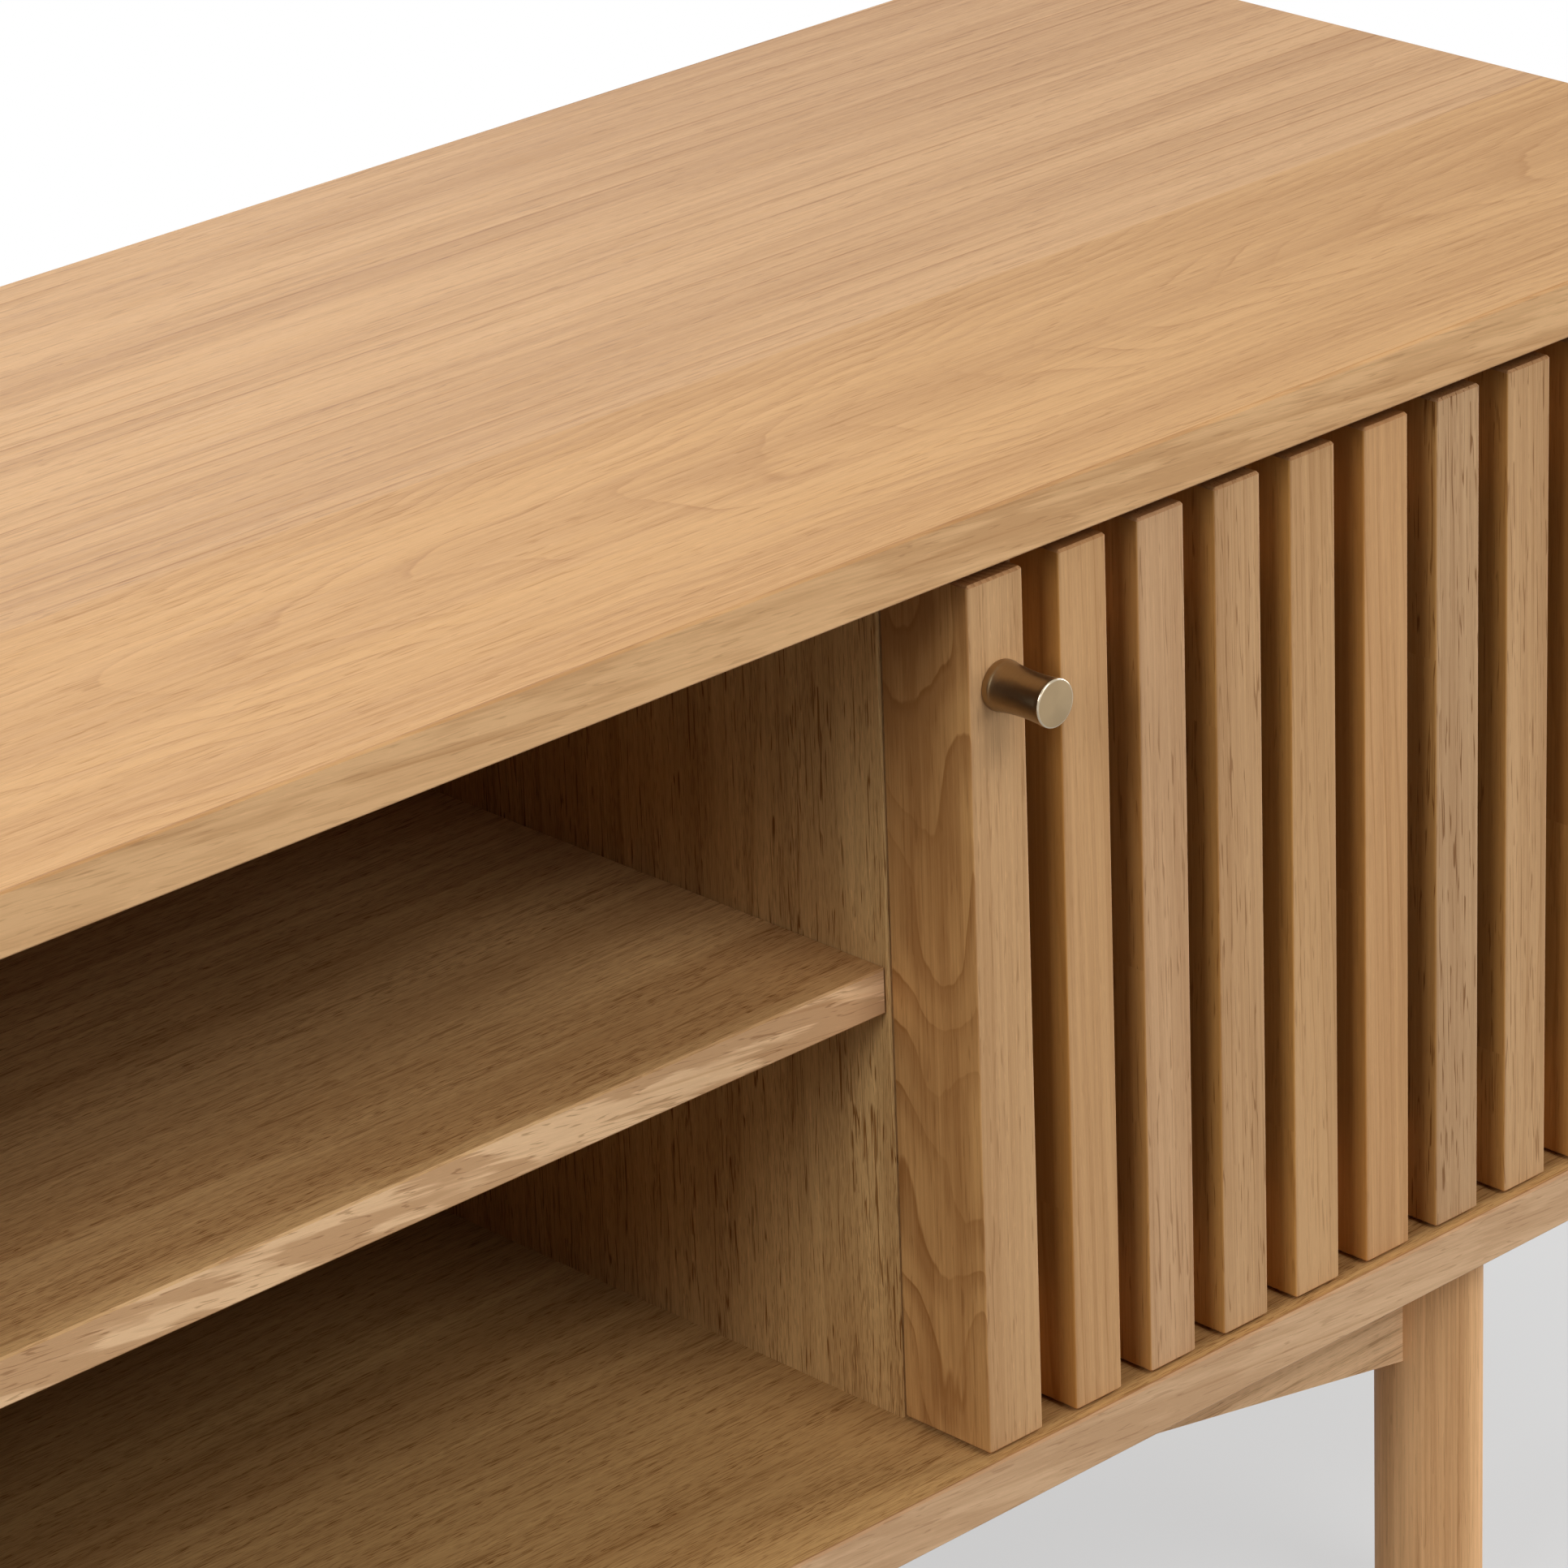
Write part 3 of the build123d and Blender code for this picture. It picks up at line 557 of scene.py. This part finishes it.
def dress_center_shelf():
    lipping = dict(
        grain="x turned", color=SHELF_LIPPING_OAK, seed=27, slope=0.10, ring=12.0, contrast=0.23,
        wander=60, arches=0.2, pores=0.05, vessels=0.5, streaks=0.6, figure=1.2,
    )
    knot = dict(knot=(35, -85, 358), knot_size=4.0)
    # The below tint is painted shade on the shelf's underside
    looks = dict(heart=(0, 200, 30), front=lipping, below_shade=UNDERSIDE_PAINTED_SHADE, **knot, **INSIDE)
    dress("center_shelf", oak("shelf", "x", INNER_OAK, 5, **looks))


def dress_uprights():
    for number, node in enumerate(("left_divider", "right_divider")):
        looks = dict(
            heart=(0, 20, 200), ring=9.0, wander=30, arches=0.3, lines=0.4, pores=0.65,
            vessels=1.0, flecks=0.9, contrast=0.18, streaks=1.2,
        )
        dress(node, oak(node, "z", DIVIDER_OAK, 6 + number, **looks))
    heart_depths = {"left_side_panel": 720, "right_side_panel": -840}
    for number, (node, depth) in enumerate(heart_depths.items()):
        heart = (-900, -20, depth)
        dress(node, oak(node, "z turned", SIDE_OAK, 8 + number, heart=heart, **SIDE_PANEL))


def dress_inside():
    for number, node in enumerate(("left_inner_shelf", "right_inner_shelf")):
        dress(node, oak(node, "x", INNER_OAK, 10 + number, pores=0.8))
    # The back panel's dark oak is painted shade for the deep inside of the case
    dress("back_panel", oak("back_panel", "x", BACK_OAK_PAINTED_SHADE, 12, pores=0.5))


def dress_stand():
    for number, node in enumerate(("front_rail", "rear_rail")):
        looks = dict(ring=7.0, contrast=0.22, arches=0.5, lines=0.7)
        dress(node, oak(node, "x turned", STAND_OAK, 13 + number, **looks))
    for number, node in enumerate(("left_cross_rail", "right_cross_rail")):
        looks = dict(ring=7.0, contrast=0.2, pores=0.5)
        dress(node, oak(node, "y", STAND_OAK, 15 + number, **looks))
    legs = ("front_left_leg", "front_right_leg", "rear_left_leg", "rear_right_leg")
    for number, node in enumerate(legs):
        looks = dict(ring=14.0, contrast=0.2, lines=0.3, pores=0.1, vessels=0.25, streaks=1.2)
        dress(node, oak(node, "z", LEG_OAK, 17 + number, **looks))


# Tint and strength of the vessel lines, from the latch stile outwards
SLATS = (
    ((1.0, 0.97, 0.93), 0.15),
    ((1.0, 1.02, 1.12), 0.50),
    ((0.96, 0.97, 1.0), 0.60),
    ((0.98, 0.97, 0.95), 0.35),
    ((1.04, 0.99, 0.94), 0.12),
    ((0.93, 0.98, 1.08), 0.85),
    ((0.97, 0.98, 1.0), 0.60),
    ((1.02, 1.0, 0.97), 0.3),
    ((0.96, 0.98, 1.04), 0.50),
    ((1.0, 0.98, 0.95), 0.25),
)


def slat_name(side, number):
    return f"{side}_slat_{number:02d}"


def dress_door(side, first_seed, heart_depth):
    """Stiles, rails and slats of one door; heart_depth is how deep the latch stile's heart lies."""
    face = dict(
        grain="z", color=DOOR_OAK, seed=first_seed + 17, contrast=0.13, pores=0.1, vessels=0.35,
        flecks=0.6, streaks=1.2,
    )
    # The flank and arris tints of this stile are painted shade on its side and its upper end
    looks = dict(
        front=face, flank_shade=STILE_PAINTED_SHADE, heart=(-600, 181, heart_depth), arris=END_PAINTED_SHADE, **LATCH_STILE,
    )
    dress(f"{side}_latch_stile", oak(f"{side}_latch", "z turned", DOOR_OAK, first_seed, **looks))
    # The flank tint of the hinge stile is painted shade on its sides
    hinge_stile = oak(f"{side}_hinge", "z", DOOR_OAK, first_seed + 1, flank_shade=SIDE_PAINTED_SHADE)
    dress(f"{side}_hinge_stile", hinge_stile)
    dress(f"{side}_top_rail", oak(f"{side}_top_rail", "x", DOOR_OAK, first_seed + 2))
    dress(f"{side}_bottom_rail", oak(f"{side}_bottom_rail", "x", DOOR_OAK, first_seed + 3))
    for number, (tint, vessels) in enumerate(SLATS, 1):
        name = slat_name(side, number)
        color = tuple(c * t for c, t in zip(DOOR_OAK, tint))
        # Each slat lies elsewhere in the tree, and its finger joint comes at another height
        looks = dict(
            heart=(0, 40 + 17 * number % 60, 30 + 23 * number % 40), ring=5.0 + number % 3,
            joint=190.0 + 83.0 * number % 260.0, slope=0.012, pores=0.1, vessels=vessels,
            # The flank and arris tints here are painted shade on the slat's sides and upper end
            contrast=0.15, streaks=1.2, flank_shade=SIDE_PAINTED_SHADE, arris=END_PAINTED_SHADE,
        )
        dress(name, oak(name, "z", color, first_seed + 4 + number, **looks))


dress_top()
dress_base()
dress_center_shelf()
dress_uprights()
dress_inside()
dress_stand()
dress_door("left", first_seed=21, heart_depth=240)
dress_door("right", first_seed=41, heart_depth=-360)

# ---------------------------------------------------------------- fittings
steel = metal("zinc_plated_steel", STEEL, 0.35)
for node in ("shelf_pins", "stand_fixings"):
    dress(node, steel)
for side in HANDS:
    dress(f"{side}_door_fixings", steel)
    dress(f"{side}_pivot_pins", steel)
dress("catch_magnets", metal("magnet", STEEL, 0.3))
dress("pivot_bushes", metal("turned_brass", BRASS, 0.3, "z"))
dress("carcass_dowels", plain("beech", BEECH, 0.6))
dress("floor_glides", plain("nylon", NYLON, 0.5))


# ---------------------------------------------------------------- small screws
def ring_of(mesh, radius, height, count):
    """Corners of a circle round Z."""
    turns = [2 * math.pi * number / count for number in range(count)]
    return [mesh.verts.new((radius * math.cos(a), radius * math.sin(a), height)) for a in turns]


def cross_of(mesh, reach, half_slot, height):
    """Corners of a cross recess, all round."""
    corners = []
    for quarter in range(4):
        turn = Matrix.Rotation(quarter * math.pi / 2, 3, "Z")
        for x, y in ((reach, -half_slot), (reach, half_slot), (half_slot, half_slot)):
            corners.append(mesh.verts.new(turn @ Vector((x, y, height))))
    return corners


def bridge(mesh, outer, inner):
    """Faces between two loops with as many corners."""
    for number in range(len(outer)):
        after = (number + 1) % len(outer)
        mesh.faces.new((outer[number], outer[after], inner[after], inner[number]))


HEAD_SEGMENTS = 24
DOME = ((1.0, 0.0), (1.0, 0.30), (0.93, 0.62), (0.78, 0.86), (0.62, 0.97))  # shares of radius and height
RECESS_MOUTH = (0.52, 0.11)  # reach and half width of its slots, shares of the radius
RECESS_FLOOR = (0.34, 0.07)
RECESS_LEVEL = 0.35  # of its floor, share of the height


def pan_head(mesh, place, outward, radius, height):
    """Domed screw head with a cross recess, standing on a surface at place."""
    first = len(mesh.verts)
    rings = [ring_of(mesh, radius * share, height * rise, HEAD_SEGMENTS) for share, rise in DOME]
    for low, high in zip(rings, rings[1:]):
        bridge(mesh, low, high)
    mouth = cross_of(mesh, *[share * radius for share in RECESS_MOUTH], height)
    floor_of_recess = cross_of(mesh, *[share * radius for share in RECESS_FLOOR], RECESS_LEVEL * height)
    edges = []
    for loop in (rings[-1], mouth):
        edges += [mesh.edges.get(pair) or mesh.edges.new(pair) for pair in zip(loop, loop[1:] + loop[:1])]
    bmesh.ops.triangle_fill(mesh, edges=edges, use_beauty=True)
    bridge(mesh, mouth, floor_of_recess)
    mesh.faces.new(floor_of_recess)
    mesh.verts.ensure_lookup_table()
    turn = Vector(outward).to_track_quat("Z", "Y").to_matrix().to_4x4()
    bmesh.ops.transform(mesh, matrix=Matrix.Translation(place) @ turn, verts=mesh.verts[first:])


def screws(name, places, outward, radius, height, body):
    """One piece with a pan head at each place, riding with a body."""
    mesh = bmesh.new()
    for place in places:
        pan_head(mesh, place, outward, radius, height)
    bmesh.ops.recalc_face_normals(mesh, faces=mesh.faces)
    data = bpy.data.meshes.new(name)
    mesh.to_mesh(data)
    mesh.free()
    data.materials.append(steel)
    data.shade_smooth()
    piece = bpy.data.objects.new(name, data)
    bpy.context.scene.collection.objects.link(piece)
    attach(piece, body)


def middle_of(node):
    """Middle of a node's box."""
    low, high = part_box(node)
    return [(a + b) / 2 for a, b in zip(low, high)]


SLAT_SCREW = (3.6 * MM, 1.6 * MM)  # radius and height of a head
PANEL_SCREW = (3.0 * MM, 1.5 * MM)
PANEL_SCREW_INSET = 4.5 * MM  # screw to the back panel's edge
EDGE_SHARES = (0.0, 0.17, 0.34, 0.5, 0.66, 0.83, 1.0)  # screws along the upper and lower edge
DIVIDER_SHARES = (0.3, 0.7)  # screws up a divider
BACKWARD = (0, 1, 0)


def slat_screws(side):
    """Screws through the door's rails into every slat."""
    places = []
    for rail in ("top_rail", "bottom_rail"):
        y_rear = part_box(f"{side}_{rail}")[1][1]
        z = middle_of(f"{side}_{rail}")[2]
        slats = [slat_name(side, number) for number in range(1, len(SLATS) + 1)]
        places += [(middle_of(slat)[0], y_rear, z) for slat in slats]
    screws(f"{side}_slat_screws", places, BACKWARD, *SLAT_SCREW, f"{side}_door")


def back_panel_screws():
    """Screws round the back panel and up both dividers."""
    (x_low, _, z_low), (x_high, y_rear, z_high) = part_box("back_panel")
    x_first, x_last = x_low + PANEL_SCREW_INSET, x_high - PANEL_SCREW_INSET
    z_rows = (z_low + PANEL_SCREW_INSET, z_high - PANEL_SCREW_INSET)
    columns = [x_first + share * (x_last - x_first) for share in EDGE_SHARES]
    places = [(x, y_rear, z) for x in columns for z in z_rows]
    places += [(x, y_rear, (z_low + z_high) / 2) for x in (columns[0], columns[-1])]
    for panel in ("left_divider", "right_divider"):
        x = middle_of(panel)[0]
        places += [(x, y_rear, z_low + share * (z_high - z_low)) for share in DIVIDER_SHARES]
    screws("back_panel_screws", places, BACKWARD, *PANEL_SCREW, "carcass")


for side in HANDS:
    slat_screws(side)
back_panel_screws()


# ---------------------------------------------------------------- turned knobs
# Half section, radius and distance to the door in millimetres, with the places where the turner changed tool
KNOB_FOOT = (
    (8.9, 0.0), (9.3, 0.12), (9.45, 0.35), (9.5, 0.6),
    (9.5, 2.2), (9.47, 2.6), (9.4, 3.0), (9.27, 3.4), (9.15, 3.8),
)
KNOB_WAIST = (8.35, 15.0)
KNOB_RIM = ((9.1, 26.3), (9.03, 26.6), (8.88, 26.82), (8.68, 26.95), (8.4, 27.0))
HOLLOW_STEPS = 12
KNOB_SEGMENTS = 96
SHARP = math.radians(24)  # edges that turn more stay crisp


def hollow(start, waist, end, steps):
    """Points of the arc through three points, each a radius and a distance, without its two ends."""
    (r1, y1), (r2, y2), (r3, y3) = start, waist, end
    a, b = 2 * (r2 - r1), 2 * (y2 - y1)
    c, d = 2 * (r3 - r1), 2 * (y3 - y1)
    e = r2 * r2 - r1 * r1 + y2 * y2 - y1 * y1
    f = r3 * r3 - r1 * r1 + y3 * y3 - y1 * y1
    r0 = (e * d - b * f) / (a * d - b * c)
    y0 = (a * f - e * c) / (a * d - b * c)
    radius = math.hypot(r1 - r0, y1 - y0)
    heights = [y1 + (y3 - y1) * number / steps for number in range(1, steps)]
    return [(r0 - math.sqrt(radius ** 2 - (y - y0) ** 2), y) for y in heights]


def turned_knob(side):
    """Knob turned from bar: round foot, hollow waist and a softly chamfered, polished rim."""
    low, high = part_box(f"{side}_knob")
    x, z = (low[0] + high[0]) / 2, (low[2] + high[2]) / 2
    waist = hollow(KNOB_FOOT[-1], KNOB_WAIST, KNOB_RIM[0], HOLLOW_STEPS)
    outline = list(KNOB_FOOT) + waist + list(KNOB_RIM)
    mesh = bmesh.new()
    rings = [ring_of(mesh, r * MM, -distance * MM, KNOB_SEGMENTS) for r, distance in outline]
    for before, after in zip(rings, rings[1:]):
        bridge(mesh, before, after)
    mesh.faces.new(rings[0])
    mesh.faces.new(rings[-1])
    rim_starts = -(KNOB_RIM[0][1] - 0.01) * MM
    for face in mesh.faces:
        if len(face.verts) == 4 and all(corner.co.z < rim_starts for corner in face.verts):
            face.material_index = 1
    bmesh.ops.recalc_face_normals(mesh, faces=mesh.faces)
    turn = Matrix.Rotation(-math.pi / 2, 4, "X")
    place = Matrix.Translation((x, high[1], z)) @ turn
    bmesh.ops.transform(mesh, matrix=place, verts=mesh.verts)
    name = f"{side}_turned_knob"
    data = bpy.data.meshes.new(name)
    mesh.to_mesh(data)
    mesh.free()
    data.materials.append(metal(f"{side}_champagne", CHAMPAGNE, 0.34, "y"))
    data.materials.append(metal(f"{side}_polished_rim", POLISHED, 0.16))
    data.shade_smooth()
    data.set_sharp_from_angle(angle=SHARP)
    piece = bpy.data.objects.new(name, data)
    bpy.context.scene.collection.objects.link(piece)
    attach(piece, f"{side}_door")
    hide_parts(f"{side}_knob")


for side in HANDS:
    turned_knob(side)


# ---------------------------------------------------------------- floor, light and camera
def seen_directly(g):
    """1 for what the camera sees, also in metal, and 0 for light that falls on the object."""
    rays = g.add("ShaderNodeLightPath").outputs
    seen = g.math("MAXIMUM", rays["Is Glossy Ray"], rays["Is Transmission Ray"])
    seen = g.math("MULTIPLY", seen, g.math("LESS_THAN", rays["Diffuse Depth"], 0.5))
    return g.math("MAXIMUM", seen, rays["Is Camera Ray"])


FADE_FROM, FADE_TO = 0.9, 1.5  # distances from the object between which the floor turns white
SHADED = 0.3  # share of the lamps' light and shadow in the near floor's look; further off it has none
FLOOR_HALF = 40.0


def floor_material():
    """Pale floor that keeps the object's shadow: grey round the object, white further off."""
    material, g, shader = new_material("studio_floor")
    shader.inputs["Roughness"].default_value = 0.9
    shader.inputs["Specular IOR Level"].default_value = 0.1
    distance = g.vector("LENGTH", g.add("ShaderNodeTexCoord").outputs["Object"])
    far = g.step(distance, FADE_FROM, FADE_TO)
    g.plug(shader.inputs["Base Color"], g.mix(far, FLOOR_NEAR, FLOOR_FAR))
    glow = g.add("ShaderNodeEmission", {"Color": g.mix(far, FLOOR_GREY, WHITE), "Strength": 1.0})
    glowing = g.math("MULTIPLY_ADD", far, SHADED, 1.0 - SHADED)
    share = g.math("MULTIPLY", seen_directly(g), glowing)
    both = g.add("ShaderNodeMixShader")
    g.plug(both.inputs[0], share)
    g.plug(both.inputs[1], shader.outputs[0])
    g.plug(both.inputs[2], glow.outputs[0])
    g.plug(material.node_tree.nodes["Material Output"].inputs["Surface"], both.outputs[0])
    return material


def floor():
    mesh = bpy.data.meshes.new("studio_floor")
    corners = [(x * FLOOR_HALF, y * FLOOR_HALF, 0) for x, y in ((-1, -1), (1, -1), (1, 1), (-1, 1))]
    mesh.from_pydata(corners, [], [range(4)])
    mesh.materials.append(floor_material())
    plane = bpy.data.objects.new("studio_floor", mesh)
    bpy.context.scene.collection.objects.link(plane)
    plane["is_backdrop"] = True


AMBIENT = 0.015  # strength of the world as a light


def world():
    scene_world = bpy.data.worlds.new("studio")
    bpy.context.scene.world = scene_world
    scene_world.use_nodes = True
    g = Graph(scene_world.node_tree)
    lit = scene_world.node_tree.nodes["Background"]
    lit.inputs["Color"].default_value = (1, 1, 1, 1)
    lit.inputs["Strength"].default_value = AMBIENT
    white = g.add("ShaderNodeBackground", {"Color": WHITE, "Strength": 1.0})
    both = g.add("ShaderNodeMixShader")
    g.plug(both.inputs[0], seen_directly(g))
    g.plug(both.inputs[1], lit.outputs[0])
    g.plug(both.inputs[2], white.outputs[0])
    g.plug(scene_world.node_tree.nodes["World Output"].inputs["Surface"], both.outputs[0])


LAMP_AIM = Vector((0.3, 0.0, 0.35))
LAMP_SIZE = 1.6
LAMPS = {  # place and power in watts
    "right_low": ((3.80, -0.70, 0.73), 38.0),
    "right_high": ((3.55, -0.80, 1.65), 52.0),
    "left_high": ((-2.64, -0.84, 2.26), 60.0),
    "front_high": ((0.53, -2.67, 2.76), 46.0),
    "front_low": ((0.79, -3.49, 1.10), 12.0),
    "back": ((1.77, 2.55, 2.42), 58.0),
}


def softbox(name, place, power):
    """Square lamp that looks at the cabinet."""
    light = bpy.data.lights.new(name, "AREA")
    light.shape = "RECTANGLE"
    light.size = light.size_y = LAMP_SIZE
    light.energy = power
    lamp = bpy.data.objects.new(name, light)
    lamp.location = place
    lamp.rotation_euler = (LAMP_AIM - Vector(place)).to_track_quat("-Z", "Y").to_euler()
    bpy.context.scene.collection.objects.link(lamp)


EYE = (-1.2956, -1.8154, 1.4288)
LENS = 162.1
TO_THE_RIGHT = Vector((0.71853, -0.69456, -0.03594))
AHEAD = Vector((0.62874, 0.67079, -0.39334))


def camera():
    """Long lens from the left front, above the cabinet, rolled by two degrees."""
    data = bpy.data.cameras.new("camera")
    data.sensor_width = 36.0
    data.lens = LENS
    ahead = AHEAD.normalized()
    up = TO_THE_RIGHT.normalized().cross(ahead).normalized()
    right = ahead.cross(up)
    turn = Matrix((right, up, -ahead)).transposed().to_4x4()
    data.clip_start = 0.05
    data.clip_end = 200.0
    eye = bpy.data.objects.new("camera", data)
    eye.matrix_world = Matrix.Translation(EYE) @ turn
    bpy.context.scene.collection.objects.link(eye)
    bpy.context.scene.camera = eye


floor()
world()
for lamp_name, (lamp_place, watts) in LAMPS.items():
    softbox(lamp_name, lamp_place, watts)
camera()
bpy.context.scene.view_settings.view_transform = "Standard"
